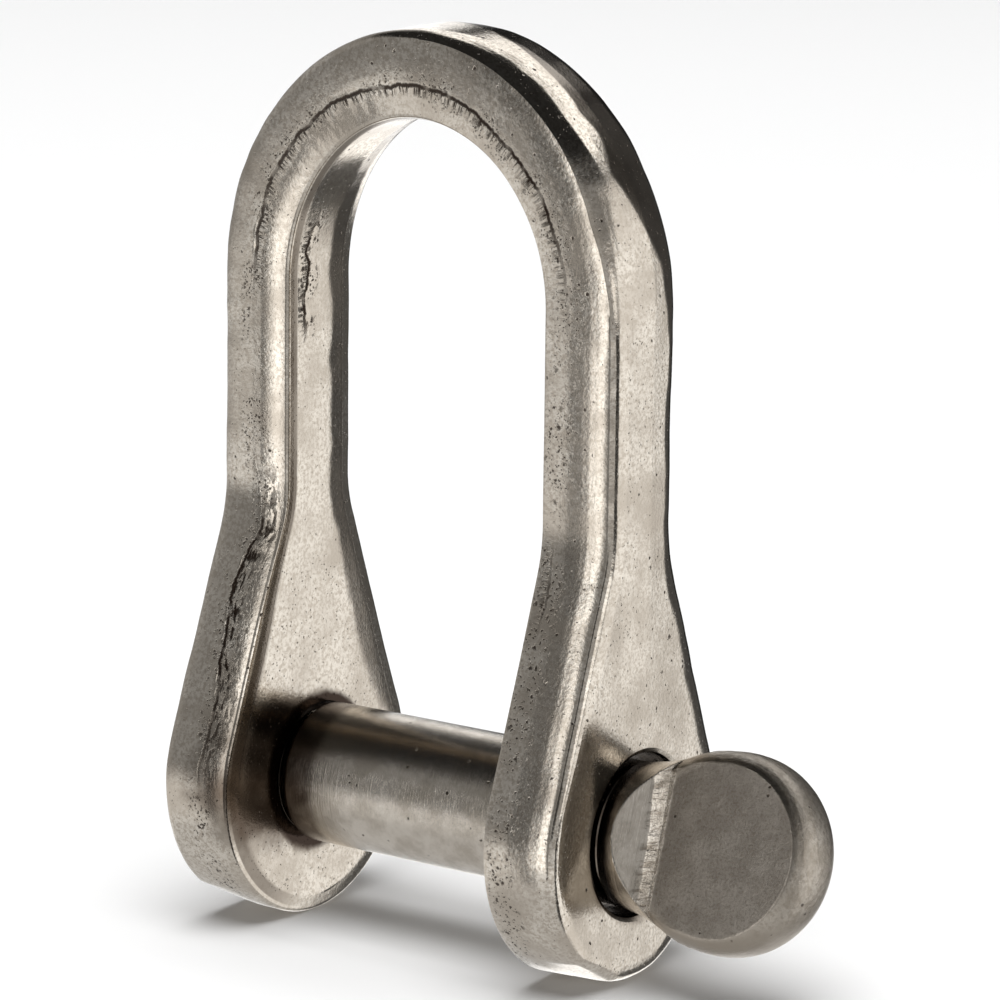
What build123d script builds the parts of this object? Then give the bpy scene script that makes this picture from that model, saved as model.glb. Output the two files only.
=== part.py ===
"""A small stamped D shackle with a screw pin.

The frame: the origin is on the pin's axis, midway between the two ears. X runs along the
pin towards its head, Z runs up to the crown, and Y is the depth of the blanked strip.
Lengths are in millimetres.
"""
from build123d import *
import os
from math import cos, radians, sin, tan

os.makedirs("parts", exist_ok=True)

# The pin sets the size of the family.
pin_diameter = 5.0

# The strip that is blanked, then bent into a U.
jaw_width = 10.95
strip_thickness = 2.95
leg_width = 3.9
leg_length = 17.8
crown_rise = 6.1
crown_thickness = 3.05
edge_break = 0.2

# The round ears, and the taper that joins each one to its leg.
ear_radius = 5.2
taper_angle = 20.0
taper_blend_radius = 5.0

# The holes in the ears.
clearance_hole_diameter = 5.6
tapped_hole_diameter = 5.0
hole_edge_break = 0.25

# The pin, from its threaded end to its head.
pin_end_stand_out = 0.4
pin_end_chamfer = 0.5
thread_fit_gap = 0.03
relief_length = 0.7
relief_diameter = 4.0
shoulder_gap = 0.12
shoulder_chamfer = 0.3

# The coined head: a flat disc whose face is turned up a little from the front. The round
# bar swells as it leaves the ear, and is squashed to the disc's thickness.
head_diameter = 6.9
head_thickness = 2.55
head_centre_x = 12.27
head_turn = 18.5
head_rim_radius = 0.55
swell_start_x = 8.45
swell_diameter = 5.3
squash_start_x = 9.1
squash_end_x = 10.2
squash_width = 5.9
squash_thickness = 2.4
squash_corner_radius = 0.6
tongue_end_x = 11.6
tongue_end_width = 6.4

jaw_face = jaw_width / 2
outer_face = jaw_face + strip_thickness
pin_radius = pin_diameter / 2
crown_top = leg_length + crown_rise + crown_thickness


def turned(profile):
    """Revolve a closed (x, radius) outline about the pin's axis."""
    face = Plane.XY * make_face(Polyline(*profile, close=True))
    return revolve(face, Axis.X, 360)


def u_profile():
    """The strip's U, seen along Y, with the bottom well below the ears."""
    bottom = -2 * ear_radius
    crown = make_face(
        [
            Line((-outer_face, bottom), (-outer_face, leg_length)),
            EllipticalCenterArc((0, leg_length), outer_face, crown_rise + crown_thickness, arc_size=180),
            Line((outer_face, leg_length), (outer_face, bottom)),
            Line((outer_face, bottom), (jaw_face, bottom)),
            Line((jaw_face, bottom), (jaw_face, leg_length)),
            EllipticalCenterArc((0, leg_length), jaw_face, crown_rise, arc_size=180),
            Line((-jaw_face, leg_length), (-jaw_face, bottom)),
            Line((-jaw_face, bottom), (-outer_face, bottom)),
        ]
    )
    return Plane.XZ * crown


def blank_outline():
    """The strip's depth at each height: an ear circle, two tapers and the straight leg."""
    slope = radians(taper_angle)
    leg_half = leg_width / 2
    tangent = (ear_radius * cos(slope), ear_radius * sin(slope))
    meet_z = tangent[1] + (tangent[0] - leg_half) / tan(slope)
    blend = taper_blend_radius * tan(slope / 2)
    lower = (leg_half + blend * sin(slope), meet_z - blend * cos(slope))
    upper = (leg_half, meet_z + blend)
    centre = (leg_half + taper_blend_radius, meet_z + blend)
    middle = (
        centre[0] - taper_blend_radius * cos(slope / 2),
        centre[1] - taper_blend_radius * sin(slope / 2),
    )
    top = crown_top + 1

    def mirrored(point):
        return (-point[0], point[1])

    outline = make_face(
        [
            Line((leg_half, top), upper),
            ThreePointArc(upper, middle, lower),
            Line(lower, tangent),
            ThreePointArc(tangent, (0, -ear_radius), mirrored(tangent)),
            Line(mirrored(tangent), mirrored(lower)),
            ThreePointArc(mirrored(lower), mirrored(middle), mirrored(upper)),
            Line(mirrored(upper), (-leg_half, top)),
            Line((-leg_half, top), (leg_half, top)),
        ]
    )
    return Plane.YZ * outline


def ear_hole(diameter, side):
    """The cutter for one ear's hole, with a broken edge at both faces."""
    radius = diameter / 2
    wide = radius + hole_edge_break
    start = jaw_face
    end = outer_face
    profile = [
        (start - 1, 0),
        (start - 1, wide + 1),
        (start, wide),
        (start + hole_edge_break, radius),
        (end - hole_edge_break, radius),
        (end, wide),
        (end + 1, wide + 1),
        (end + 1, 0),
    ]
    return turned([(side * x, r) for x, r in profile])


def shackle_body():
    """The bent strip with its two drilled ears."""
    bent = extrude(u_profile(), amount=2 * ear_radius, both=True)
    blank = extrude(blank_outline(), amount=2 * outer_face, both=True)
    body = bent & blank
    long_edges = body.edges().filter_by(lambda edge: abs(edge.center().Y) > 0.3)
    body = chamfer(long_edges, edge_break)
    body = body - ear_hole(clearance_hole_diameter, 1)
    body = body - ear_hole(tapped_hole_diameter, -1)
    return body


def pin_shank():
    """The turned length of the pin: end, thread at its crest, relief, shank and swell."""
    end = -outer_face - pin_end_stand_out
    crest = pin_radius - thread_fit_gap
    relief = relief_diameter / 2
    shoulder = -jaw_face + shoulder_gap
    return turned(
        [
            (end, 0),
            (end, crest - pin_end_chamfer),
            (end + pin_end_chamfer, crest),
            (shoulder - relief_length, crest),
            (shoulder - relief_length, relief),
            (shoulder, relief),
            (shoulder, pin_radius - shoulder_chamfer),
            (shoulder + shoulder_chamfer, pin_radius),
            (swell_start_x, pin_radius),
            (squash_start_x, swell_diameter / 2),
            (squash_start_x, 0),
        ]
    )


def head_disc():
    """The flat round disc, with its coined rim rounded."""
    face_plane = Plane(origin=(head_centre_x, 0, 0), x_dir=(1, 0, 0), z_dir=(0, -1, 0))
    disc = extrude(face_plane * Circle(head_diameter / 2), amount=head_thickness / 2, both=True)
    return fillet(disc.edges().filter_by(GeomType.CIRCLE), head_rim_radius)


def flat_section(x, width):
    """A rounded section of the flattened bar, square to the pin's axis."""
    plane = Plane(origin=(x, 0, 0), x_dir=(0, 1, 0), z_dir=(1, 0, 0))
    return (plane * RectangleRounded(squash_thickness, width, squash_corner_radius)).face()


def squashed_neck():
    """The length where the round bar is pressed flat, and widens into the disc."""
    round_plane = Plane(origin=(squash_start_x, 0, 0), x_dir=(0, 1, 0), z_dir=(1, 0, 0))
    round_end = (round_plane * Circle(swell_diameter / 2)).face()
    flat_end = flat_section(squash_end_x, squash_width)
    wide_end = flat_section(tongue_end_x, tongue_end_width)
    return loft([round_end, flat_end]) + loft([flat_end, wide_end])


def screw_pin():
    """The whole pin, one solid."""
    head = head_disc() + squashed_neck()
    return pin_shank() + head.rotate(Axis.X, -head_turn)


nodes = {
    "shackle_body": shackle_body(),
    "screw_pin": screw_pin(),
}

for name, shape in nodes.items():
    export_step(shape, f"parts/{name}.step")
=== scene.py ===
"""The looks of a small stamped D shackle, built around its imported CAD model.

The CAD frame holds here too: X runs along the pin towards its head, Z runs up to the crown,
and -Y is the front edge of the strip. Shapes are worked out in millimetres, like the CAD's
driving sizes, and turned into metres when a mesh is made.
"""
import math

import bpy
import bmesh
import numpy as np
from mathutils import Matrix, Vector

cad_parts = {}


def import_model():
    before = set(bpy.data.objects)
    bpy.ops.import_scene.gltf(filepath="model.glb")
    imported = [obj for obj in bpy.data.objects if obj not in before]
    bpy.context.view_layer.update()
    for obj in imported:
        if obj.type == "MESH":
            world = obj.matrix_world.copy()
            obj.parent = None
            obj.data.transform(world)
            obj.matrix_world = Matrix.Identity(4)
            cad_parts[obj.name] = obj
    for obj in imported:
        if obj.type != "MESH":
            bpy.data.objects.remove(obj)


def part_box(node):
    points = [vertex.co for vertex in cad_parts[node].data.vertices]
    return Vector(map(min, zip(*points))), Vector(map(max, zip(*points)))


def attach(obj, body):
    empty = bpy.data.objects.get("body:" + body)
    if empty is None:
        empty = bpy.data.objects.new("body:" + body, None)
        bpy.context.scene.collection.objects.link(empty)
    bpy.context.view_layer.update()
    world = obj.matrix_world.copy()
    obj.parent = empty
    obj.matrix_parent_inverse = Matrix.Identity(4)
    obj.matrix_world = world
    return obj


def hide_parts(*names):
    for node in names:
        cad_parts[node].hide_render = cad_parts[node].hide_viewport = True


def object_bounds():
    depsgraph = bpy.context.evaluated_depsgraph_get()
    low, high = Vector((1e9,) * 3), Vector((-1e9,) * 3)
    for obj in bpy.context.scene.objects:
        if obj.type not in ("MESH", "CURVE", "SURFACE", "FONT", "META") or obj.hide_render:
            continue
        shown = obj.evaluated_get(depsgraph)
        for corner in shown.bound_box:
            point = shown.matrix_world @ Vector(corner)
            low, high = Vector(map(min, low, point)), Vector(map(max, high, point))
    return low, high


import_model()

MM = 0.001
cad_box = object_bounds()
body_low, body_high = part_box("shackle_body")
pin_low, pin_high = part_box("screw_pin")

# Sizes of the bent strip, in millimetres.
outer_face = body_high.x / MM
ear_radius = -body_low.z / MM
crown_top = body_high.z / MM
strip_thickness = 2.95
jaw_face = outer_face - strip_thickness
leg_half = 1.95
leg_length = 17.8
crown_thickness = 3.05
crown_rise = crown_top - leg_length - crown_thickness
taper_angle = math.radians(20)
taper_blend_radius = 5.0
clearance_hole_radius = 2.8
tapped_hole_radius = 2.5

# Sizes of the pin, in millimetres.
pin_radius = 2.5
pin_end_x = pin_low.x / MM
head_end_x = pin_high.x / MM
head_radius = 3.45
head_centre_x = head_end_x - head_radius
head_half_thickness = 1.275
head_turn = math.radians(18.5)
neck_end_x = 8.32


# ---------------------------------------------------------------- small helpers

def smooth_step(low, high, value):
    """0 below low, 1 above high, and a smooth rise between."""
    t = np.clip((np.asarray(value, float) - low) / (high - low), 0.0, 1.0)
    return t * t * (3 - 2 * t)


def lattice_values(ix, iy, iz, seed):
    """A repeatable pseudo-random number from 0 to 1 at each whole-number point."""
    n = ix * 374761393 + iy * 668265263 + iz * 2147483647 + seed * 1274126177
    n = (n ^ (n >> 13)) * 1274126177
    n = n ^ (n >> 16)
    return (n & 0xFFFFFF) / float(0xFFFFFF)


def value_noise(x, y, z, seed):
    """Smooth noise from -1 to 1 with features about one unit wide."""
    x, y, z = np.broadcast_arrays(np.asarray(x, float), np.asarray(y, float), np.asarray(z, float))
    fx, fy, fz = np.floor(x), np.floor(y), np.floor(z)
    ix, iy, iz = fx.astype(np.int64), fy.astype(np.int64), fz.astype(np.int64)
    u, v, w = (smooth_step(0, 1, x - fx), smooth_step(0, 1, y - fy), smooth_step(0, 1, z - fz))
    total = 0.0
    for dx in (0, 1):
        for dy in (0, 1):
            for dz in (0, 1):
                weight = (u if dx else 1 - u) * (v if dy else 1 - v) * (w if dz else 1 - w)
                total = total + weight * lattice_values(ix + dx, iy + dy, iz + dz, seed)
    return 2 * total - 1


def fractal_noise(x, y, z, seed, octaves=3):
    """Several layers of value noise, each half as large and twice as fine."""
    total = 0.0
    for layer in range(octaves):
        scale = 2.0 ** layer
        total = total + value_noise(x * scale, y * scale, z * scale, seed + layer) / scale
    return total


def grid_faces(rows, columns):
    """Quads over a grid of points, closed round the columns."""
    row, column = np.meshgrid(np.arange(rows - 1), np.arange(columns), indexing="ij")
    right = (column + 1) % columns
    a = row * columns + column
    b = row * columns + right
    return np.stack([a, b, b + columns, a + columns], axis=-1).reshape(-1, 4)


def mesh_object(name, points_mm, faces, attributes=None):
    """A mesh object from points in millimetres, with named numbers on its points."""
    mesh = bpy.data.meshes.new(name)
    mesh.from_pydata((np.asarray(points_mm) * MM).tolist(), [], list(faces))
    for key, values in (attributes or {}).items():
        layer = mesh.attributes.new(key, "FLOAT", "POINT")
        layer.data.foreach_set("value", np.asarray(values, np.float32).ravel())
    mesh.validate()
    mesh.update()
    piece = bpy.data.objects.new(name, mesh)
    bpy.context.scene.collection.objects.link(piece)
    return piece


def clean_mesh(piece, merge_mm, sharp_degrees):
    """Merge doubled points, face everything outwards and keep only true edges sharp."""
    work = bmesh.new()
    work.from_mesh(piece.data)
    bmesh.ops.remove_doubles(work, verts=work.verts, dist=merge_mm * MM)
    bmesh.ops.dissolve_degenerate(work, dist=merge_mm * MM * 0.5, edges=work.edges)
    bmesh.ops.recalc_face_normals(work, faces=work.faces)
    limit = math.radians(sharp_degrees)
    for edge in work.edges:
        edge.smooth = len(edge.link_faces) != 2 or edge.calc_face_angle(0) < limit
    for face in work.faces:
        face.smooth = True
    work.to_mesh(piece.data)
    work.free()
    piece.data.update()


# ---------------------------------------------------------------- the bent strip

def leg_outline(spacing):
    """Half of the blank's edge on one leg, from the ear's bottom to the leg's top.

    Gives the depth y, the height z and the edge's outward normal, as (y, z)."""
    slope = taper_angle
    first_angle = -math.pi / 2 + 0.03
    arc_count = int(ear_radius * (math.pi / 2 + slope) / spacing)
    arc = np.linspace(first_angle, slope, arc_count + 1)
    tangent_y = ear_radius * math.cos(slope)
    tangent_z = ear_radius * math.sin(slope)
    meet_z = tangent_z + (tangent_y - leg_half) / math.tan(slope)
    reach = taper_blend_radius * math.tan(slope / 2)
    blend_z = meet_z + reach
    line_end_y = leg_half + reach * math.sin(slope)
    line_end_z = meet_z - reach * math.cos(slope)
    line_length = math.hypot(tangent_y - line_end_y, line_end_z - tangent_z)
    line = np.linspace(0, 1, int(line_length / spacing) + 1)[1:]
    turn = np.linspace(slope, 0, int(taper_blend_radius * slope / spacing) + 1)[1:]
    straight = np.linspace(blend_z, leg_length, int((leg_length - blend_z) / spacing) + 1)[1:]
    y = np.concatenate([
        ear_radius * np.cos(arc),
        tangent_y + (line_end_y - tangent_y) * line,
        leg_half + taper_blend_radius * (1 - np.cos(turn)),
        np.full(len(straight), leg_half),
    ])
    z = np.concatenate([
        ear_radius * np.sin(arc),
        tangent_z + (line_end_z - tangent_z) * line,
        blend_z - taper_blend_radius * np.sin(turn),
        straight,
    ])
    angle = np.concatenate([arc, np.full(len(line), slope), turn, np.zeros(len(straight))])
    return y, z, np.cos(angle), np.sin(angle)


# How far the blanked edge is set back from its outline, by distance from the jaw face: a broken
# inner corner, a burnished land, and the rolled-over outer corner with its crease and facet.
EDGE_INNER = [(0.0, 0.60), (0.02, 0.46), (0.09, 0.10), (0.13, 0.035), (0.22, 0.0)]
EDGE_LAND = [(1.15, 0.003), (1.65, 0.028), (1.95, 0.054), (2.3, 0.105), (2.5, 0.147), (2.66, 0.197)]
EDGE_ROLL = [(2.72, 0.235), (2.80, 0.32), (2.87, 0.44), (2.92, 0.59), (2.95, 0.84)]
# How the far leg's edge leans back towards the jaw face.
INNER_LEAN = [(0.0, 0.19), (0.25, 0.135), (0.5, 0.083), (0.8, 0.05), (1.6, 0.0)]
BACK_LAND = [(1.0, 0.0), (2.1, 0.02), (2.5, 0.06)]
BACK_ROLL = [(2.6, 0.09), (2.78, 0.2), (2.88, 0.34), (2.93, 0.5), (2.95, 0.7)]

# Where the blanking tear runs across the edge, as a share of the thickness from the jaw side,
# and how strongly it shows, by distance along the strip from the crown's top.
TEAR_PATH = [(-28.2, 0.43), (-25.9, 0.39), (-24.7, 0.45), (-22.3, 0.50), (-21.2, 0.43), (-20.3, 0.31),
             (-18.9, 0.38), (-17.4, 0.50), (-12.5, 0.52), (-8.4, 0.50), (-5.0, 0.46), (0.0, 0.38),
             (4.6, 0.31), (8.0, 0.34), (11.5, 0.36), (14.0, 0.26), (18.0, 0.22), (24.0, 0.24), (28.0, 0.30)]
TEAR_STRENGTH = [(-29.0, 0.0), (-28.0, 0.7), (-26.0, 1.0), (-20.0, 1.0), (-17.4, 0.0), (-12.0, 0.0),
                 (-10.4, 0.9), (7.6, 1.0), (9.6, 0.6), (12.0, 0.0), (19.0, 0.0), (20.5, 0.7), (22.5, 0.0)]

# How strongly the scar shows along the middle of the far leg's inner face, by distance along.
SCAR_STRENGTH = [(-13.8, 0.0), (-12.8, 1.0), (-9.4, 1.0), (-8.2, 0.0)]

# How strongly the tear shows off the front edge, and a distance that is clear of any tear.
back_tear_strength = 0.45
clear_of_tear = 9.0

# The slope of the shoulder on the crown's near side and the depth y where it starts.
SHOULDER_SLOPE = [(0.5, 0.0), (3.5, 0.22), (6.0, 0.26), (8.5, 0.30), (11.5, 0.0)]
SHOULDER_START = [(0.5, -1.4), (6.0, -1.2), (8.5, -0.75), (10.0, -0.65)]

# Width of the facet that bending left along the back of the outer face, by distance along.
FAR_FACET = [(-2.0, 0.65), (-0.8, 0.8), (0.0, 1.15), (1.3, 1.7), (3.3, 2.05), (4.3, 2.3), (5.3, 2.4),
             (6.3, 2.2), (7.3, 2.4), (8.6, 1.85), (10.0, 1.15), (12.5, 0.7), (15.0, 0.9), (30.0, 0.95)]


def sampled_knots(knots, samples):
    """Points spread evenly along a chain of knots."""
    knots = np.array(knots)
    length = np.concatenate([[0], np.cumsum(np.hypot(*np.diff(knots, axis=0).T))])
    at = np.linspace(0, length[-1], samples)
    return np.interp(at, length, knots[:, 0]), np.interp(at, length, knots[:, 1])


def strip_stations():
    """The stations along the bent strip, from the far ear's bottom over the crown to the near ear.

    Each has its inner and outer point in the U's plane, its half depth, the outline's normal
    and its distance along the strip from the crown's top."""
    y, z, normal_y, normal_z = leg_outline(spacing=0.13)
    crown_stations = 200
    crown = np.linspace(math.pi, 0, crown_stations)[1:-1]
    inner = np.column_stack([jaw_face * np.cos(crown), leg_length + crown_rise * np.sin(crown)])
    crown_outer = crown_rise + crown_thickness
    outer = np.column_stack([outer_face * np.cos(crown), leg_length + crown_outer * np.sin(crown)])
    ones = np.ones(len(z))
    left_in = np.column_stack([-jaw_face * ones, z])
    left_out = np.column_stack([-outer_face * ones, z])
    inner = np.vstack([left_in, inner, (left_in * [-1, 1])[::-1]])
    outer = np.vstack([left_out, outer, (left_out * [-1, 1])[::-1]])
    flat = np.zeros(len(crown))
    half = np.concatenate([y, flat + leg_half, y[::-1]])
    out_y = np.concatenate([normal_y, flat + 1, normal_y[::-1]])
    out_z = np.concatenate([normal_z, flat, normal_z[::-1]])
    middle = (inner + outer) / 2
    along = np.concatenate([[0], np.cumsum(np.hypot(*np.diff(middle, axis=0).T))])
    along -= along[-1] / 2
    return inner, outer, half, out_y, out_z, along


def front_edge(fuller, flatter, wider, lean, tighter):
    """The front edge at every station: distance from the jaw face, and set-back.

    flatter takes the crown out of the land, wider stretches the rolled corner, lean tips the
    edge back towards the jaw face, and tighter shrinks the broken inner corner."""
    inner_t, inner_s = sampled_knots(EDGE_INNER, 16)
    land_t, land_s = sampled_knots(EDGE_LAND, 22)
    roll_t, roll_s = sampled_knots(EDGE_ROLL, 16)
    crease = EDGE_LAND[-1][1]
    past_crease = roll_s - crease
    set_back = np.concatenate([
        tighter[:, None] * inner_s,
        (fuller * (1 - flatter))[:, None] * land_s,
        fuller[:, None] * (crease * (1 - flatter[:, None]) + past_crease * (1 + wider[:, None])),
    ], axis=1)
    t = np.concatenate([inner_t, land_t, roll_t])
    return t, set_back + lean[:, None] * np.interp(t, *np.array(INNER_LEAN).T)


def ear_flat(out_y, out_z):
    """Set-back of the small flat pressed into the round of each ear, low on its front."""
    middle = math.radians(-63)
    reach = math.radians(14)
    well_away = 1.2
    away = np.arctan2(out_z, out_y) - middle
    chord = ear_radius * (1 - math.cos(reach) / np.cos(np.clip(away, -well_away, well_away)))
    return np.where(np.abs(away) < reach, chord, 0.0)


def back_edge(rows):
    """The back edge, which is the same at every station."""
    chains = [sampled_knots(EDGE_INNER, 9), sampled_knots(BACK_LAND, 7), sampled_knots(BACK_ROLL, 9)]
    t = np.concatenate([chain[0] for chain in chains])
    set_back = np.concatenate([chain[1] for chain in chains])
    return t, np.ones((rows, 1)) * set_back


def end_cap(front_t, back_t, front_count, back_start, back_end, columns):
    """Triangles that close one end of the loop, from its front edge across to the rest."""
    front = list(range(front_count))[::-1]
    across = list(range(front_count, columns))
    front_key = list(front_t[:-1]) + [math.inf]
    across_key = [front_t[1]] * (back_start - front_count)
    across_key += list(np.maximum(back_t, front_t[1]))
    across_key += [front_t[-1]] * (columns - back_end)
    faces = []
    i = j = 0
    while i < len(front) - 1 or j < len(across) - 1:
        across_done = j == len(across) - 1
        if across_done or (i < len(front) - 1 and front_key[i + 1] <= across_key[j + 1]):
            faces.append([front[i], front[i + 1], across[j]])
            i += 1
        else:
            faces.append([front[i], across[j + 1], across[j]])
            j += 1
    return faces


def along_table(table, along):
    """A table of (distance along the strip, value) read at every station."""
    return np.interp(along, *np.array(table).T)


class Stations:
    """What is known at every station along the bent strip."""

    def __init__(self):
        self.inner, self.outer, self.half, self.out_y, self.out_z, self.along = strip_stations()
        self.count = len(self.along)
        self.height = self.inner[:, 1]
        self.near_side = smooth_step(-2, 2, self.along)
        self.ear = 1 - smooth_step(2.0, 9.0, self.height)
        self.leg = smooth_step(6.0, 9.5, self.height)
        crown = smooth_step(leg_length - 2, leg_length + 3, self.height)
        self.near_crown = self.near_side * crown
        self.off_bottom = smooth_step(0.5, 3.5, self.half + 3.5 * self.leg)

    def noise(self, width, seed):
        """Smooth noise along the strip, with features of the given width in millimetres."""
        return value_noise(self.along / width, 0, 0, seed)

    def ragged(self, width, seed, octaves):
        """Layered noise along the strip, for ragged lines."""
        return fractal_noise(self.along / width, 0, 0, seed, octaves)


def edge_profiles(at):
    """The front and back edges as distances from the jaw face and set-backs at every station."""
    fuller = (0.5 + 0.5 * at.near_side) * (1 - 0.3 * at.ear)
    uneven = 1 + 0.12 * at.noise(1.7, 61) + 0.07 * at.noise(0.5, 62)
    lean = (1 - at.near_side) * (0.2 + 0.8 * smooth_step(6.5, 10.5, at.height))
    tighter = 1 - 0.4 * smooth_step(5.0, 9.0, at.height)
    front_t, front_s = front_edge(
        fuller * uneven, 0.6 * at.near_crown, 0.7 * at.near_crown, lean, tighter)
    back_t, back_s = back_edge(at.count)
    at_bottom = ((1 - smooth_step(0.2, 3.2, at.half)) * (at.height < 0))[:, None]
    back_profile = np.interp(front_t, back_t, back_s[0])[None, :]
    front_s = front_s + at_bottom * (back_profile - front_s)
    pressed = smooth_step(0.4, 2.6, front_t)[None, :]
    front_s = front_s + ear_flat(at.out_y, at.out_z)[:, None] * pressed
    return front_t, front_s, back_t, back_s


def edge_line(at, side, t, inset):
    """One blanked edge as depth, place in the thickness, and lift: side -1 is the front."""
    y = side * (at.half[:, None] - inset * at.out_y[:, None])
    return np.stack([y, np.broadcast_to(t, y.shape), -inset * at.out_z[:, None]], axis=-1)


def face_line(start, end, columns):
    """The rows of one face between two edges."""
    share = np.linspace(0, 1, columns + 2)[1:-1][None, :, None]
    return start[:, None, :] * (1 - share) + end[:, None, :] * share


def facet_depth(into, softness):
    """How deep a flat facet lies by how far a point is inside it, with a softened start."""
    inside = np.clip(into, 0, None)
    return inside ** 2 / (inside + softness)


def outer_facets(at, y, room):
    """How the outer face falls to the facets that bending left, and the far facet's own depth."""
    width = along_table(FAR_FACET, at.along)
    width = width * (1 + 0.10 * at.noise(1.6, 6) + 0.05 * at.noise(0.6, 8)) * at.off_bottom
    far_depth = facet_depth(width[:, None] - room, 0.05)
    slope = (0.22 - 0.13 * at.near_crown)[:, None]
    tilt = (0.025 * (1 - at.ear) + 0.045 * at.near_crown)[:, None]
    shoulder_slope = along_table(SHOULDER_SLOPE, at.along)[:, None]
    shoulder_start = along_table(SHOULDER_START, at.along)[:, None]
    crowning = 0.06 * at.near_crown[:, None]
    fall = crowning - slope * far_depth - tilt * np.clip(0.3 - y, 0, 1.6)
    fall = fall - shoulder_slope * facet_depth(shoulder_start - y, 0.25)
    return fall, far_depth


def inner_facet(at, room):
    """How the inner face rises to the facet along its back, and how far each point is in it."""
    width = 0.45 + 1.0 * smooth_step(-1.0, 4.0, at.height)
    width = width + 0.25 * at.ear * smooth_step(0.0, 2.0, at.height)
    width = (width + 0.12 * at.noise(1.6, 9) + 0.06 * at.noise(0.5, 10)) * at.off_bottom
    into = width[:, None] - room
    rise = 0.09 * facet_depth(into, 0.05) - 0.04 * at.leg[:, None] * smooth_step(0.3, 1.8, room)
    return rise, into


def tear_marks(at, y, front_t, back_t, front, inner_face, back):
    """How far each point lies from the blanking tear, and how strongly the tear shows there."""
    tear = np.full(y.shape, clear_of_tear)
    centre = along_table(TEAR_PATH, at.along) + 0.02 * at.ragged(1.3, 21, 3)
    tear[:, front] = front_t[None, ::-1] - centre[:, None] * strip_thickness
    back_centre = 0.4 + 0.05 * at.ragged(2.0, 33, 4)
    tear[:, back] = back_t[None, :] - back_centre[:, None] * strip_thickness
    scar_path = (-0.8 + 0.25 * at.ragged(1.1, 71, 3))[:, None]
    scar = along_table(SCAR_STRENGTH, at.along)[:, None]
    tear[:, inner_face] = np.where(scar > 0, y - scar_path, clear_of_tear)[:, inner_face]
    show = np.full(y.shape, back_tear_strength)
    show[:, front] = along_table(TEAR_STRENGTH, at.along)[:, None]
    show[:, inner_face] = scar
    return tear, show


def painted_reflection_marks(at, far_depth, into_inner, front, inner_face, back):
    """Where painted dark reflection goes: on the bent facets and on the rolled outer corners, where the
    faces turn away from the light.
    """
    rolled_front = 9
    rolled_back = 12
    band = np.zeros(far_depth.shape)
    band[:, back.stop:] = smooth_step(0.0, 0.1, far_depth)[:, back.stop:]
    band[:, back.start + rolled_back:back.stop] = 1
    band = band * (0.55 + 0.45 * at.near_crown)[:, None]
    band[:, inner_face] = 0.55 * smooth_step(0.0, 0.12, into_inner)[:, inner_face]
    band[:, front.stop - rolled_front:front.stop] = 0.95
    return band * at.off_bottom[:, None]


def shackle_mesh():
    """The bent strip before its holes are cut, with the marks that its steel carries and where painted dark
    reflection goes.
    """
    at = Stations()
    front_t, front_s, back_t, back_s = edge_profiles(at)
    front_rows = edge_line(at, -1, front_t, front_s)
    back_rows = edge_line(at, 1, back_t, back_s)
    inner_rows = face_line(front_rows[:, 0], back_rows[:, 0], columns=27)
    outer_rows = face_line(back_rows[:, -1], front_rows[:, -1], columns=36)
    loop = np.concatenate([front_rows[:, ::-1], inner_rows, back_rows, outer_rows], axis=1)
    y, t, lift = loop[:, :, 0], loop[:, :, 1], loop[:, :, 2]
    columns = y.shape[1]
    front = slice(0, len(front_t))
    inner_face = slice(front.stop, front.stop + inner_rows.shape[1])
    back = slice(inner_face.stop, inner_face.stop + len(back_t))

    room = at.half[:, None] - y
    fall, far_depth = outer_facets(at, y, room)
    rise, into_inner = inner_facet(at, room)
    outerness = smooth_step(0.45 * strip_thickness, strip_thickness, t)
    part = (t + outerness * fall + (1 - outerness) * rise) / strip_thickness
    x = at.inner[:, 0:1] * (1 - part) + at.outer[:, 0:1] * part
    z = at.inner[:, 1:2] * (1 - part) + at.outer[:, 1:2] * part + lift
    points = np.stack([x, y, z], axis=-1).reshape(-1, 3)

    tear, show = tear_marks(at, y, front_t, back_t, front, inner_face, back)
    named = {
        "tear": tear,
        "tear_show": show,
        "along": np.broadcast_to(at.along[:, None], y.shape),
        "painted_reflection_band": painted_reflection_marks(at, far_depth, into_inner, front, inner_face, back),
    }
    faces = grid_faces(at.count, columns).tolist()
    cap = end_cap(front_t, back_t, front.stop, back.start, back.stop, columns)
    last_row = (at.count - 1) * columns
    faces += cap
    faces += [[last_row + corner for corner in face[::-1]] for face in cap]
    return points, faces, named


def push_points(piece, push_mm):
    """Move each point of a mesh along its normal by the millimetres push_mm gives for it."""
    mesh = piece.data
    count = len(mesh.vertices)
    points = np.empty(count * 3)
    mesh.vertices.foreach_get("co", points)
    points = points.reshape(-1, 3)
    normals = np.empty(count * 3, np.float32)
    mesh.vertex_normals.foreach_get("vector", normals)
    marks = ("tear", "tear_show", "along")
    push = push_mm(points / MM, {name: attribute_values(mesh, name) for name in marks})
    points += normals.reshape(-1, 3) * push[:, None] * MM
    mesh.vertices.foreach_set("co", points.ravel())
    mesh.update()


def attribute_values(mesh, name):
    """One named number for every point of a mesh."""
    values = np.empty(len(mesh.vertices), np.float32)
    mesh.attributes[name].data.foreach_get("value", values)
    return values.astype(float)


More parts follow.
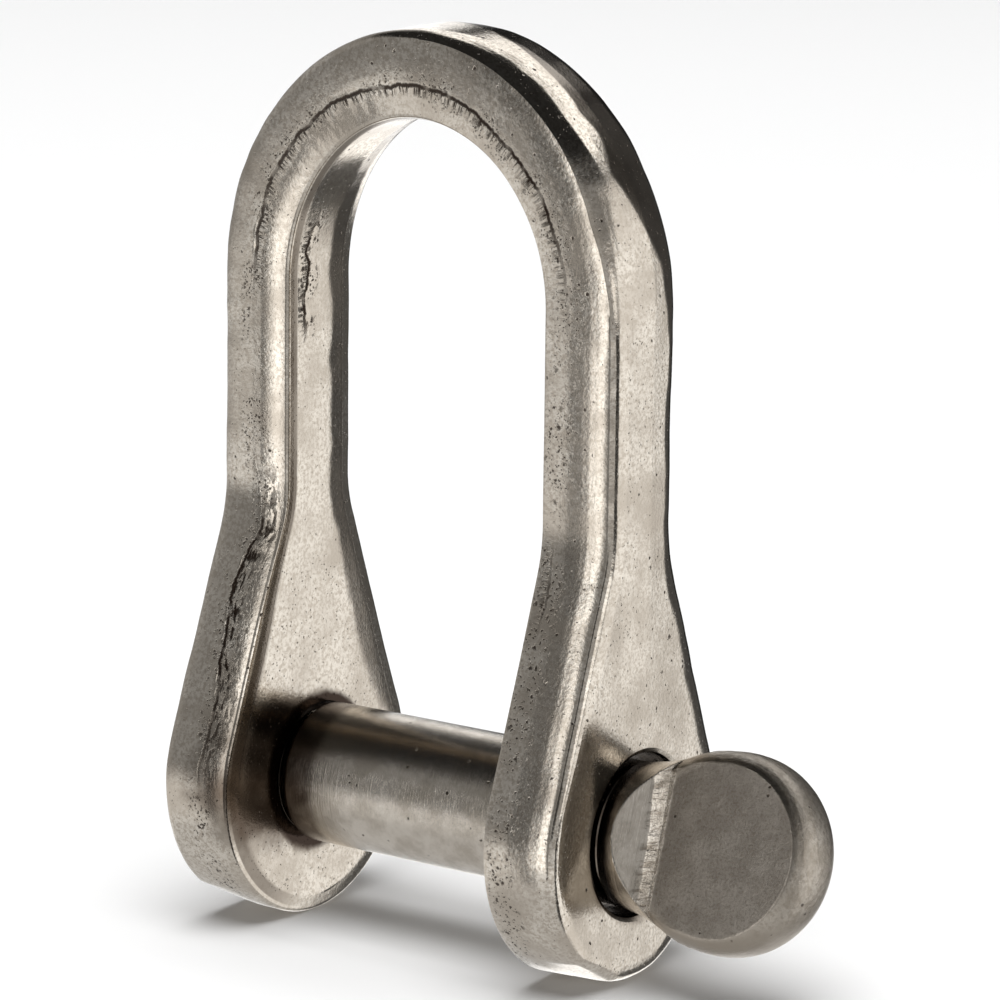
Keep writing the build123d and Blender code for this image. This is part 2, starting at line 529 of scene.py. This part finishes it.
def strip_wear(points, named):
    """Hammer marks, the tear's step and groove, and shallow pits, in millimetres."""
    x, y, z = points.T
    tear, show, along = named["tear"], named["tear_show"], named["along"]
    crown = smooth_step(leg_length - 2, leg_length + 2, z)
    off_hole = smooth_step(clearance_hole_radius + 0.3, clearance_hole_radius + 1.0, np.hypot(y, z))
    waves = 0.008 * fractal_noise(x / 2.4, y / 2.4, z / 2.4, 3, 2) * (1 + 1.2 * crown)
    ragged = tear + 0.10 * fractal_noise(along / 0.4, 0, 0, 41, 4)
    on_edge = tear < clear_of_tear / 2
    step = -0.012 * (1 - smooth_step(-0.10, 0.02, ragged)) * show * on_edge
    groove = -0.026 * np.exp(-(ragged / 0.06) ** 2) * show * on_edge
    teeth = 0.011 * value_noise(along / 0.13, 0, 0, 17) * smooth_step(-0.45, -0.05, ragged)
    teeth = teeth * (ragged < 0) * show * on_edge
    return waves * off_hole + step + groove + teeth


# ---------------------------------------------------------------- the ears' holes

thread_pitch = 0.8
thread_root = 2.08
thread_crest = 2.46


def thread_wave(x, angle):
    """The thread's form, from 0 at the root to 1 at the crest, in step on the pin and in the ear."""
    turn = x / thread_pitch - angle / (2 * math.pi)
    saw = np.abs((turn % 1.0) * 2 - 1)
    return smooth_step(0.12, 0.88, saw)


def turned_solid(name, x, radius):
    """A closed solid about the pin's axis from rings of radii, one row for each x."""
    segments = radius.shape[1]
    angle = np.linspace(0, 2 * math.pi, segments, endpoint=False)[None, :]
    points = np.stack([x[:, None] + 0 * radius, radius * np.cos(angle), radius * np.sin(angle)], axis=-1)
    faces = grid_faces(len(x), segments).tolist()
    faces.append(list(range(segments))[::-1])
    faces.append([(len(x) - 1) * segments + i for i in range(segments)])
    return mesh_object(name, points.reshape(-1, 3), faces)


def hole_cutter(name, radius, side, threaded):
    """The tool that cuts one ear's hole, with rounded mouths and a thread where it has one."""
    mouth = 0.22
    overshoot = 0.9
    segments = 120
    depth = np.linspace(-overshoot, strip_thickness + overshoot, 130 if threaded else 60)
    to_face = np.minimum(depth, strip_thickness - depth)
    flare = mouth - np.sqrt(np.clip(mouth ** 2 - np.clip(mouth - to_face, 0, mouth) ** 2, 0, None))
    x = side * (jaw_face + depth)
    radii = radius + np.where(to_face < 0, mouth - to_face, flare)
    radii = radii[:, None] * np.ones((1, segments))
    if threaded:
        angle = np.linspace(0, 2 * math.pi, segments, endpoint=False)[None, :]
        play = 0.03
        thread_depth = thread_crest - thread_root
        ridge = thread_root + play + thread_depth * thread_wave(x[:, None], angle)
        radii = np.maximum(ridge, radii - thread_depth)
    return turned_solid(name, x, radii)


def cut_hole(piece, cutter):
    """Cut a hole, and drop the cutter."""
    clean_mesh(cutter, 0.0005, 25)
    cut = piece.modifiers.new("hole", "BOOLEAN")
    cut.operation = "DIFFERENCE"
    cut.solver = "EXACT"
    cut.object = cutter
    bpy.context.view_layer.update()
    shaped = bpy.data.meshes.new_from_object(piece.evaluated_get(bpy.context.evaluated_depsgraph_get()))
    piece.modifiers.clear()
    piece.data = shaped
    bpy.data.objects.remove(cutter)


points, faces, named_values = shackle_mesh()
shackle = mesh_object("shackle_strip", points, faces, named_values)
clean_mesh(shackle, 0.004, 25)
cut_hole(shackle, hole_cutter("near_cutter", clearance_hole_radius, 1, False))
cut_hole(shackle, hole_cutter("far_cutter", tapped_hole_radius, -1, True))
clean_mesh(shackle, 0.0015, 25)
push_points(shackle, strip_wear)


# ---------------------------------------------------------------- the pin

def pin_stations():
    """The x of each ring of points along the pin, closer together where the shape turns."""
    shank = np.concatenate([
        np.linspace(pin_end_x, -jaw_face - 0.6, 110),
        np.linspace(-jaw_face - 0.59, -jaw_face + 0.5, 50),
        np.linspace(-jaw_face + 0.55, neck_end_x - 0.02, 40),
        np.linspace(neck_end_x + 0.02, 10.6, 110),
    ])
    turn = np.linspace(math.acos((10.62 - head_centre_x) / head_radius), 0, 90)
    return np.concatenate([shank, head_centre_x + head_radius * np.cos(turn)])


def shank_radius(x, angle):
    """The turned radius along the pin up to the head: thread, relief, shoulder and shank."""
    shoulder = -jaw_face + 0.12
    end = np.interp(x, [pin_end_x, pin_end_x + 0.45], [thread_root - 0.05, thread_crest])
    thread = thread_root + (thread_crest - thread_root) * thread_wave(x, angle)
    thread = np.minimum(thread, end)
    plain = np.interp(
        x,
        [shoulder - 0.72, shoulder - 0.68, shoulder - 0.01, shoulder, shoulder + 0.26, shoulder + 0.34],
        [2.0, 2.0, 2.0, 2.22, 2.47, 2.5],
    )
    return np.where(x < shoulder - 0.7, thread, plain)


def head_half_width(x):
    """The head's half width in its own plane, with a concave flare out of the neck."""
    x = np.asarray(x, float)
    flare = np.interp(x, [8.3, 8.7, 9.1, 9.5, 10.0, 10.35, 10.7, 11.1, 11.5, 12.0],
                      [2.5, 2.58, 2.64, 2.72, 2.86, 3.02, 3.18, 3.32, 3.39, 3.44])
    inside = np.clip(head_radius ** 2 - (x - head_centre_x) ** 2, 0, None)
    disc = np.sqrt(inside)
    return np.where(x < head_centre_x - 0.3, flare, disc)


# The head's half thickness by distance in from its rim: a round edge, a bevel, then the flat.
RIM_SHAPE = [(0.0, 0.0), (0.004, 0.2), (0.02, 0.42), (0.05, 0.6), (0.11, 0.79), (0.2, 0.98),
             (0.34, 1.16), (0.47, 1.265), (0.5, 1.275)]


def pin_mesh():
    """The whole pin as rings of points. Angle 0 faces the way the head's flat faces."""
    x = pin_stations()[:, None]
    count = 192
    angle = np.linspace(-math.pi, math.pi, count, endpoint=False)[None, :]
    around = np.arctan2(
        -np.cos(angle) * math.sin(head_turn) - np.sin(angle) * math.cos(head_turn),
        -np.cos(angle) * math.cos(head_turn) + np.sin(angle) * math.sin(head_turn),
    )
    radius = shank_radius(x, -around)
    round_h = radius * np.cos(angle)
    round_s = radius * np.sin(angle)
    width = head_half_width(x)
    s = width * np.sin(angle)
    side = np.sign(np.cos(angle))
    bar_h = np.abs(np.cos(angle)) * width * pin_radius / 2.55
    on_disc = x > head_centre_x - 0.6
    to_rim = np.where(on_disc, head_radius - np.hypot(x - head_centre_x, s), width - np.abs(s))
    flat_h = np.interp(to_rim, *np.array(RIM_SHAPE).T)
    ramp_start = 8.99
    step_width = 0.23
    step_slope = 1.7
    ragged = 0.018 * fractal_noise(s / 0.35, side, 0, 51, 3)
    step_end = 10.04 - 0.03 * s - 0.02 * np.clip(s, 0, None) ** 2 + ragged
    ramp = pin_radius - np.minimum(x - ramp_start, step_end - step_width - ramp_start)
    ramp = ramp - step_slope * np.clip(x - step_end + step_width, 0, None)
    grown_flat = flat_h * smooth_step(8.7, 9.7, x)
    h = side * np.maximum(np.minimum(bar_h, ramp), grown_flat)
    is_head = x > neck_end_x
    h = np.where(is_head, h, round_h)
    s = np.where(is_head, s, round_s)
    y = -h * math.cos(head_turn) + s * math.sin(head_turn)
    z = h * math.sin(head_turn) + s * math.cos(head_turn)
    points = np.stack([np.broadcast_to(x, y.shape), y, z], axis=-1)
    faces = grid_faces(len(x), count).tolist()
    faces.append(list(range(count))[::-1])
    return points.reshape(-1, 3), faces


points, faces = pin_mesh()
pin = mesh_object("turned_pin", points, faces)
clean_mesh(pin, 0.003, 25)


# ---------------------------------------------------------------- shader building

class Shader:
    """A small helper that adds and links nodes in one tree."""

    def __init__(self, tree):
        self.tree = tree

    def node(self, kind, settings=None, **inputs):
        """Add a node, set its properties, and link or set its inputs by name."""
        made = self.tree.nodes.new(kind)
        for key, value in (settings or {}).items():
            setattr(made, key, value)
        for key, value in inputs.items():
            self.feed(made.inputs[key.replace("_", " ")], value)
        return made

    def feed(self, socket, value):
        """Link an output to a socket, or set the socket's own value."""
        if isinstance(value, bpy.types.NodeSocket):
            self.tree.links.new(value, socket)
        else:
            socket.default_value = value

    def math(self, operation, first, second=0.0, third=0.0):
        """One Math node."""
        made = self.tree.nodes.new("ShaderNodeMath")
        made.operation = operation
        for socket, value in zip(made.inputs, (first, second, third)):
            self.feed(socket, value)
        return made.outputs[0]

    def times(self, first, *others):
        """The product of two or more numbers."""
        product = first
        for other in others:
            product = self.math("MULTIPLY", product, other)
        return product

    def most(self, first, *others):
        """The largest of two or more numbers."""
        largest = first
        for other in others:
            largest = self.math("MAXIMUM", largest, other)
        return largest

    def split(self, vector):
        """The x, y and z of a vector."""
        made = self.node("ShaderNodeSeparateXYZ")
        self.feed(made.inputs[0], vector)
        return made.outputs

    def joined(self, x, y=0.0):
        """A vector made from its x and y."""
        made = self.node("ShaderNodeCombineXYZ")
        self.feed(made.inputs[0], x)
        self.feed(made.inputs[1], y)
        return made.outputs[0]

    def off_axis(self, vector):
        """How far a point lies from the pin's axis."""
        made = self.node("ShaderNodeVectorMath", {"operation": "LENGTH"})
        self.feed(made.inputs[0], self.stretched(vector, (0.0, 1.0, 1.0)))
        return made.outputs["Value"]

    def distance(self, vector, centre):
        """How far a point lies from a centre."""
        made = self.node("ShaderNodeVectorMath", {"operation": "DISTANCE"})
        self.feed(made.inputs[0], vector)
        made.inputs[1].default_value = centre
        return made.outputs["Value"]

    def step(self, value, low, high, first=0.0, last=1.0):
        """A smooth step from first to last as value goes from low to high."""
        made = self.node("ShaderNodeMapRange", {"interpolation_type": "SMOOTHSTEP"})
        for key, number in zip(("Value", "From Min", "From Max", "To Min", "To Max"),
                               (value, low, high, first, last)):
            self.feed(made.inputs[key], number)
        return made.outputs[0]

    def blend(self, factor, first, second):
        """Mix two numbers."""
        made = self.node("ShaderNodeMix", {"data_type": "FLOAT"})
        for socket, value in zip((made.inputs[0], made.inputs[2], made.inputs[3]), (factor, first, second)):
            self.feed(socket, value)
        return made.outputs[0]

    def colour(self, factor, first, second):
        """Mix two colours."""
        made = self.node("ShaderNodeMix", {"data_type": "RGBA"})
        for socket, value in zip((made.inputs[0], made.inputs[6], made.inputs[7]), (factor, first, second)):
            self.feed(socket, value)
        return made.outputs[2]

    def noise(self, vector, scale, detail=4.0, roughness=0.55):
        """Noise from 0 to 1, with scale in features to the millimetre."""
        made = self.node("ShaderNodeTexNoise", Vector=vector, Scale=scale / MM, Detail=detail,
                         Roughness=roughness)
        return made.outputs[0]

    def stretched(self, vector, scale):
        """A vector scaled differently along each axis."""
        made = self.node("ShaderNodeVectorMath", {"operation": "MULTIPLY"})
        self.feed(made.inputs[0], vector)
        made.inputs[1].default_value = scale
        return made.outputs[0]

    def bent(self, vector, scale, amount_mm):
        """The vector pushed about by noise, so that what is drawn on it turns ragged."""
        made = self.node("ShaderNodeTexNoise", Vector=vector, Scale=scale / MM, Detail=3.0)
        centred = self.node("ShaderNodeVectorMath", {"operation": "SUBTRACT"})
        self.feed(centred.inputs[0], made.outputs["Color"])
        centred.inputs[1].default_value = (0.5, 0.5, 0.5)
        moved = self.node("ShaderNodeVectorMath", {"operation": "MULTIPLY_ADD"})
        self.feed(moved.inputs[0], centred.outputs[0])
        moved.inputs[1].default_value = (2 * amount_mm * MM,) * 3
        self.feed(moved.inputs[2], vector)
        return moved.outputs[0]

    def pits(self, vector, scale, size, share):
        """Round pits: 1 in a pit and 0 between, in the given share of the cells."""
        made = self.node("ShaderNodeTexVoronoi", Vector=vector, Scale=scale / MM, Randomness=1.0)
        parts = self.node("ShaderNodeSeparateColor")
        self.feed(parts.inputs[0], made.outputs["Color"])
        chosen = self.math("LESS_THAN", parts.outputs[0], share)
        radius = self.times(self.math("ADD", parts.outputs[1], 0.35), size)
        inside = self.step(made.outputs["Distance"], radius, self.times(radius, 0.4))
        return self.times(inside, chosen)

    def named(self, name):
        """A number stored on the mesh's points."""
        made = self.node("ShaderNodeAttribute", {"attribute_name": name})
        return made.outputs["Fac"]

    def bump(self, height, distance_mm, strength, under=None):
        """A bump of the given depth in millimetres, over another normal if there is one."""
        made = self.node("ShaderNodeBump", Height=height, Distance=distance_mm * MM, Strength=strength)
        if under is not None:
            self.tree.links.new(under, made.inputs["Normal"])
        return made.outputs[0]


def new_material(name):
    """An empty metal material, its shader helper and its surface node."""
    material = bpy.data.materials.new(name)
    material.use_nodes = True
    shader = Shader(material.node_tree)
    surface = material.node_tree.nodes["Principled BSDF"]
    surface.inputs["Metallic"].default_value = 1.0
    return material, shader, surface


def torn_marks(shader, place, tear):
    """The blanking tear: a ragged dark line, with streaks on its jaw side, 1 where torn."""
    along = shader.named("along")
    on_ear = shader.step(along, -14.0, -17.0)
    jitter = shader.node("ShaderNodeTexNoise", Vector=shader.joined(along), Scale=2.2, Detail=6.0,
                         Roughness=0.7)
    shift = shader.math("MULTIPLY_ADD", jitter.outputs[0], 0.34, -0.17)
    from_line = shader.math("ADD", tear, shift)
    line = shader.step(shader.math("ABSOLUTE", from_line), 0.09, 0.03)
    across = shader.joined(
        shader.times(along, shader.blend(on_ear, 1.0, 0.3)),
        shader.times(tear, shader.blend(on_ear, 0.12, 0.8)),
    )
    streak_noise = shader.node("ShaderNodeTexNoise", Vector=across, Scale=7.0, Detail=3.0, Roughness=0.6)
    streaks = shader.step(streak_noise.outputs[0], 0.47, 0.6)
    reach = shader.blend(on_ear, -0.42, -1.0)
    zone = shader.times(
        shader.step(from_line, reach, shader.times(reach, 0.3)),
        shader.step(from_line, 0.06, 0.0),
    )
    patchy = shader.step(shader.noise(place, 1.1, 3.0), 0.38, 0.5)
    torn = shader.most(line, shader.times(streaks, zone))
    return shader.times(torn, shader.named("tear_show"), shader.blend(patchy, 0.55, 1.0))


def strip_pits(shader, place, tear):
    """Pits in the strip: a few small ones all over, and dense patches beside the tear."""
    bent = shader.bent(place, 5.0, 0.10)
    ragged = shader.bent(bent, 14.0, 0.05)
    small = shader.pits(bent, 3.2, 0.2, 0.14)
    fine = shader.pits(bent, 8.0, 0.24, 0.3)
    coarse = shader.pits(ragged, 4.0, 0.40, 0.6)
    dense = shader.pits(ragged, 8.5, 0.42, 0.8)
    near_tear = shader.step(shader.math("ABSOLUTE", tear), 0.75, 0.3)
    cluster = shader.step(shader.noise(place, 0.6, 2.0), 0.42, 0.53)
    beside_tear = shader.times(shader.most(coarse, dense), near_tear, cluster)
    return shader.most(small, shader.times(fine, 0.6), beside_tear)


def strip_painted_shade(shader, place, cloud):
    """Painted shade: a painted shadow ring round each hole's front half, and a patch of painted shade and
    dark reflection on the far ear's inner face.
    """
    ring_outer, ring_inner = 3.2 * MM, 2.8 * MM
    front_y, back_y = -1.0 * MM, 1.0 * MM
    patch_centre = (-jaw_face * MM, -2.1 * MM, 0.4 * MM)
    patch_outer, patch_inner = 3.3 * MM, 2.1 * MM
    ring = shader.step(shader.off_axis(shader.bent(place, 1.3, 0.3)), ring_outer, ring_inner)
    ring = shader.times(ring, shader.step(shader.split(place)[1], back_y, front_y))
    loose = shader.stretched(shader.bent(place, 0.9, 0.7), (1.0, 0.85, 1.0))
    patch = shader.step(shader.distance(loose, patch_centre), patch_outer, patch_inner)
    return shader.times(shader.most(ring, patch), shader.blend(cloud, 0.8, 1.0))


def strip_steel():
    """Tumbled stainless strip: mottled, pitted, with a dark torn line along its blanked edge."""
    light_steel = (0.85, 0.785, 0.69, 1)
    warm_steel = (0.57, 0.505, 0.425, 1)
    painted_reflection_dark = (0.19, 0.16, 0.13, 1)
    painted_shade_brown = (0.105, 0.076, 0.055, 1)
    brown = (0.045, 0.030, 0.022, 1)
    hole_outer, hole_inner = 2.98 * MM, 2.7 * MM
    material, shader, surface = new_material("tumbled_steel")
    place = shader.node("ShaderNodeTexCoord").outputs["Object"]
    cloud = shader.noise(place, 0.5, 5.0, 0.6)
    mottle = shader.step(cloud, 0.35, 0.7)
    tear = shader.named("tear")
    torn = torn_marks(shader, place, tear)
    holes = strip_pits(shader, place, tear)
    dirt = shader.most(torn, shader.times(holes, 0.9))

    speckle = shader.step(shader.noise(place, 7.0, 4.0, 0.7), 0.42, 0.62)
    colour = shader.colour(shader.blend(speckle, mottle, 1.0), light_steel, warm_steel)
    # Painted dark reflection along the bent facets and rolled corners, which turn away from the light.
    band = shader.times(shader.named("painted_reflection_band"), shader.blend(mottle, 1.0, 0.75))
    colour = shader.colour(band, colour, painted_reflection_dark)
    # Painted shade: a dark ring round the front half of each hole where the shadow falls, and a painted
    # reflection patch on the far ear's inner face.
    colour = shader.colour(strip_painted_shade(shader, place, cloud), colour, painted_shade_brown)
    # Painted shade: the holes' walls and mouths are drawn dark brown where shade falls inside them.
    painted_hole_shade = shader.step(shader.off_axis(shader.bent(place, 3.0, 0.12)), hole_outer, hole_inner)
    colour = shader.colour(painted_hole_shade, colour, brown)
    colour = shader.colour(dirt, colour, brown)
    shader.feed(surface.inputs["Base Color"], colour)

    roughness = shader.math("MULTIPLY_ADD", mottle, 0.06, 0.13)
    roughness = shader.math("MULTIPLY_ADD", dirt, 0.3, roughness)
    shader.feed(surface.inputs["Roughness"], roughness)
    relief = shader.bump(shader.noise(place, 9.0, 3.0), 0.010, 0.5)
    relief = shader.bump(shader.math("SUBTRACT", 1.0, holes), 0.02, 0.6, relief)
    relief = shader.bump(shader.math("SUBTRACT", 1.0, torn), 0.04, 0.7, relief)
    shader.feed(surface.inputs["Normal"], relief)
    return material


def head_zones(shader, place, x, z):
    """Where the pin's head, its rim, the rim's underside (for painted shade) and its bright step are."""
    flat_centre = (
        head_centre_x * MM,
        -head_half_thickness * math.cos(head_turn) * MM,
        head_half_thickness * math.sin(head_turn) * MM,
    )
    head = shader.step(x, 9.6 * MM, 10.1 * MM)
    rim = shader.times(shader.step(shader.distance(place, flat_centre), 2.85 * MM, 3.1 * MM), head)
    painted_low_rim_shade = shader.times(rim, shader.step(z, -1.0 * MM, -2.8 * MM))
    on_step = shader.times(shader.step(x, 9.6 * MM, 9.8 * MM), shader.step(x, 10.25 * MM, 10.1 * MM))
    return head, rim, painted_low_rim_shade, on_step


def pin_painted_shade(shader, place, x, cloud):
    """Painted shade on the pin: inboard of its shoulder, and on the neck inside the near ear."""
    loose_x = shader.split(shader.bent(place, 1.0, 0.2))[0]
    inboard = shader.times(shader.step(loose_x, -3.7 * MM, -4.2 * MM),
                           shader.step(x, -5.15 * MM, -5.05 * MM))
    neck = shader.times(shader.step(loose_x, 9.0 * MM, 8.5 * MM), shader.step(loose_x, 5.0 * MM, 5.6 * MM))
    return shader.times(shader.most(inboard, neck), shader.blend(cloud, 0.7, 0.92))


def turned_steel():
    """Turned and coined stainless: fine turning rings on the shank, a duller struck head."""
    light_steel = (0.72, 0.66, 0.58, 1)
    warm_steel = (0.54, 0.485, 0.41, 1)
    dull_steel = (0.40, 0.355, 0.305, 1)
    rim_steel = (0.42, 0.365, 0.30, 1)
    painted_shade_brown = (0.12, 0.088, 0.065, 1)
    speckle_brown = (0.25, 0.205, 0.16, 1)
    brown = (0.05, 0.035, 0.025, 1)
    material, shader, surface = new_material("turned_steel")
    place = shader.node("ShaderNodeTexCoord").outputs["Object"]
    x, _, z = shader.split(place)
    head, rim, painted_low_rim_shade, on_step = head_zones(shader, place, x, z)
    cloud = shader.step(shader.noise(place, 0.8, 6.0, 0.65), 0.36, 0.66)
    pits = shader.pits(shader.bent(place, 6.0, 0.06), 2.6, 0.16, 0.2)
    rings = shader.noise(shader.stretched(place, (1.0, 0.03, 0.03)), 16.0, 4.0, 0.7)
    brushed = shader.noise(shader.stretched(place, (1.0, 0.35, 0.22)), 7.0, 6.0, 0.75)
    chatter = shader.noise(shader.stretched(place, (0.12, 0.3, 1.0)), 5.0, 3.0, 0.7)
    cast = shader.noise(place, 5.0, 5.0, 0.7)
    grit = shader.noise(place, 11.0, 3.0, 0.7)

    colour = shader.colour(cloud, light_steel, warm_steel)
    on_flat = shader.math("SUBTRACT", shader.math("SUBTRACT", 1.0, shader.times(rim, 0.75)), on_step)
    coined = shader.times(head, shader.blend(cloud, 0.6, 1.0), on_flat)
    colour = shader.colour(coined, colour, dull_steel)
    # The rim is darkened in noisy patches, partly dirt and partly painted shade, and its underside gets
    # painted shade.
    rim_dirt_and_shade = shader.times(rim, shader.blend(shader.step(cast, 0.42, 0.62), 0.0, 0.8))
    colour = shader.colour(shader.most(rim_dirt_and_shade, painted_low_rim_shade), colour, rim_steel)
    # Painted shade on the shank beside the far ear, and on the neck in and just outside the near ear.
    colour = shader.colour(pin_painted_shade(shader, place, x, cloud), colour, painted_shade_brown)
    colour = shader.colour(shader.times(pits, 0.8), colour, brown)
    speckle = shader.step(grit, 0.46, 0.64, 0.0, 0.45)
    speckled = shader.times(head, shader.blend(rim, speckle, 0.08))
    colour = shader.colour(speckled, colour, speckle_brown)
    marks = shader.times(shader.step(chatter, 0.5, 0.62, 0.0, 0.7), on_step)
    colour = shader.colour(marks, colour, speckle_brown)
    shader.feed(surface.inputs["Base Color"], colour)

    roughness = shader.blend(head, 0.15, 0.30)
    roughness = shader.math("MULTIPLY_ADD", on_step, -0.15, roughness)
    roughness = shader.math("MULTIPLY_ADD", rim, 0.03, roughness)
    roughness = shader.math("MULTIPLY_ADD", cloud, 0.07, roughness)
    shader.feed(surface.inputs["Roughness"], roughness)
    relief = shader.bump(shader.blend(head, rings, brushed), 0.012, 0.7)
    relief = shader.bump(shader.times(chatter, on_step), 0.03, 0.6, relief)
    relief = shader.bump(shader.times(grit, head), 0.012, 0.6, relief)
    relief = shader.bump(shader.times(cast, shader.blend(rim, 0.3, 1.0)), 0.05, 0.5, relief)
    relief = shader.bump(shader.math("SUBTRACT", 1.0, pits), 0.03, 0.8, relief)
    shader.feed(surface.inputs["Normal"], relief)
    return material


for piece, material, body, slot in (
    (shackle, strip_steel(), "shackle_body", "body_steel"),
    (pin, turned_steel(), "screw_pin", "pin_steel"),
):
    piece.data.materials.clear()
    piece.data.materials.append(material)
    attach(piece, body)
    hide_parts(body)


# ---------------------------------------------------------------- floor, light and camera

def floor():
    """A plain pale floor under the ears."""
    reach = 3000
    corners = [(-reach, -reach, 0), (reach, -reach, 0), (reach, reach, 0), (-reach, reach, 0)]
    plane = mesh_object("floor", np.array(corners) + [0, 0, cad_box[0][2] / MM], [(0, 1, 2, 3)])
    material = bpy.data.materials.new("floor_paper")
    material.use_nodes = True
    surface = material.node_tree.nodes["Principled BSDF"]
    surface.inputs["Base Color"].default_value = (0.9, 0.9, 0.9, 1)
    surface.inputs["Roughness"].default_value = 0.9
    surface.inputs["Specular IOR Level"].default_value = 0.1
    plane.data.materials.append(material)
    plane.visible_glossy = False


# The studio as the steel sees it. Each soft-edged card has its middle and half size as azimuth
# and elevation in degrees, the softness of its edge, and its brightness. Azimuth 0 is the -Y
# side and 90 the +X side.
STUDIO_CARDS = [
    ("left_wall", -95, 12, 40, 22, 14, 0.34),
    ("front_right", 45, 6, 24, 20, 12, 0.42),
    ("camera_dark", 36, 15, 9, 14, 6, 0.04),
    ("shade_strip", -29, 0, 3, 32, 3, 0.08),
    ("window_strip", -14, 3, 6, 23, 7, 1.6),
    ("shade_right", 8, -4, 9, 26, 6, 0.22),
    ("dark_side", 84, -20, 10, 24, 6, 0.03),
    ("right_window", 83, 6, 9, 8, 4, 1.4),
    ("right_wall", 122, -6, 24, 34, 5, 1.06),
    ("back_wall", -164, 0, 25, 46, 6, 1.4),
    ("roof_window", 165, 42, 27, 8, 4, 1.4),
    ("dark_back", 168, -5, 17, 40, 3, 0.11),
    ("dark_low", -161, 7, 17, 22, 4, 0.02),
]


def world():
    """A light tent with a bright floor, a dark ceiling, and bright and dark cards around it."""
    sky = bpy.data.worlds.new("studio")
    bpy.context.scene.world = sky
    sky.use_nodes = True
    shader = Shader(sky.node_tree)
    back = sky.node_tree.nodes["Background"]
    direction = shader.node("ShaderNodeTexCoord").outputs["Generated"]
    x, y, z = shader.split(direction)
    azimuth = shader.math("ARCTAN2", x, shader.math("MULTIPLY", y, -1.0))
    elevation = shader.math("ARCSINE", z)
    degrees = math.pi / 180
    table_edge, walls, underfoot, ceiling = 0.82, 0.25, 0.55, 0.02
    light = shader.step(elevation, -16 * degrees, 2 * degrees, table_edge, walls)
    light = shader.blend(shader.step(elevation, -22 * degrees, -40 * degrees), light, underfoot)
    light = shader.blend(shader.step(elevation, 30 * degrees, 44 * degrees), light, ceiling)
    for _, middle, high, half_wide, half_high, soft, bright in STUDIO_CARDS:
        away = shader.math("WRAP", shader.math("SUBTRACT", azimuth, middle * degrees), math.pi, -math.pi)
        wide = shader.step(shader.math("ABSOLUTE", away), (half_wide + soft / 2) * degrees,
                           (half_wide - soft / 2) * degrees)
        above = shader.math("ABSOLUTE", shader.math("SUBTRACT", elevation, high * degrees))
        tall = shader.step(above, (half_high + soft / 2) * degrees, (half_high - soft / 2) * degrees)
        light = shader.blend(shader.times(wide, tall), light, bright)
    backdrop = 0.98
    path = shader.node("ShaderNodeLightPath")
    seen = shader.blend(path.outputs["Is Camera Ray"], light, backdrop)
    shader.feed(back.inputs["Strength"], seen)
    back.inputs["Color"].default_value = (1, 1, 1, 1)


def floor_light():
    """A broad soft light from above that only lifts the floor, so the steel keeps its contrast."""
    data = bpy.data.lights.new("overhead", "AREA")
    data.shape = "DISK"
    data.size = 1.2
    data.energy = 19.0
    lamp = bpy.data.objects.new("overhead", data)
    lamp.location = Vector((0.1, -0.2, 1.2))
    lamp.rotation_euler = (-lamp.location).to_track_quat("-Z", "Y").to_euler()
    lamp.visible_glossy = False
    bpy.context.scene.collection.objects.link(lamp)


def camera():
    """The viewing angle: 36 degrees round towards the head, a little above the pin."""
    azimuth = math.radians(36.025)
    elevation = math.radians(11.631)
    roll = math.radians(0.658)
    target = Vector((2.367, 0, 10.831)) * MM
    distance = 158.37 * MM
    back = Vector((
        math.sin(azimuth) * math.cos(elevation),
        -math.cos(azimuth) * math.cos(elevation),
        math.sin(elevation),
    ))
    right = Vector((math.cos(azimuth), math.sin(azimuth), 0))
    up = back.cross(right)
    rolled_right = right * math.cos(roll) + up * math.sin(roll)
    rolled_up = up * math.cos(roll) - right * math.sin(roll)
    data = bpy.data.cameras.new("camera")
    data.sensor_width = 36
    data.lens = 166.3956
    data.clip_start = 0.005
    data.clip_end = 10
    view = bpy.data.objects.new("camera", data)
    bpy.context.scene.collection.objects.link(view)
    axes = Matrix((rolled_right, rolled_up, back)).transposed().to_4x4()
    view.matrix_world = Matrix.Translation(target + back * distance) @ axes
    bpy.context.scene.camera = view


floor()
world()
floor_light()
camera()
bpy.context.scene.view_settings.view_transform = "Standard"
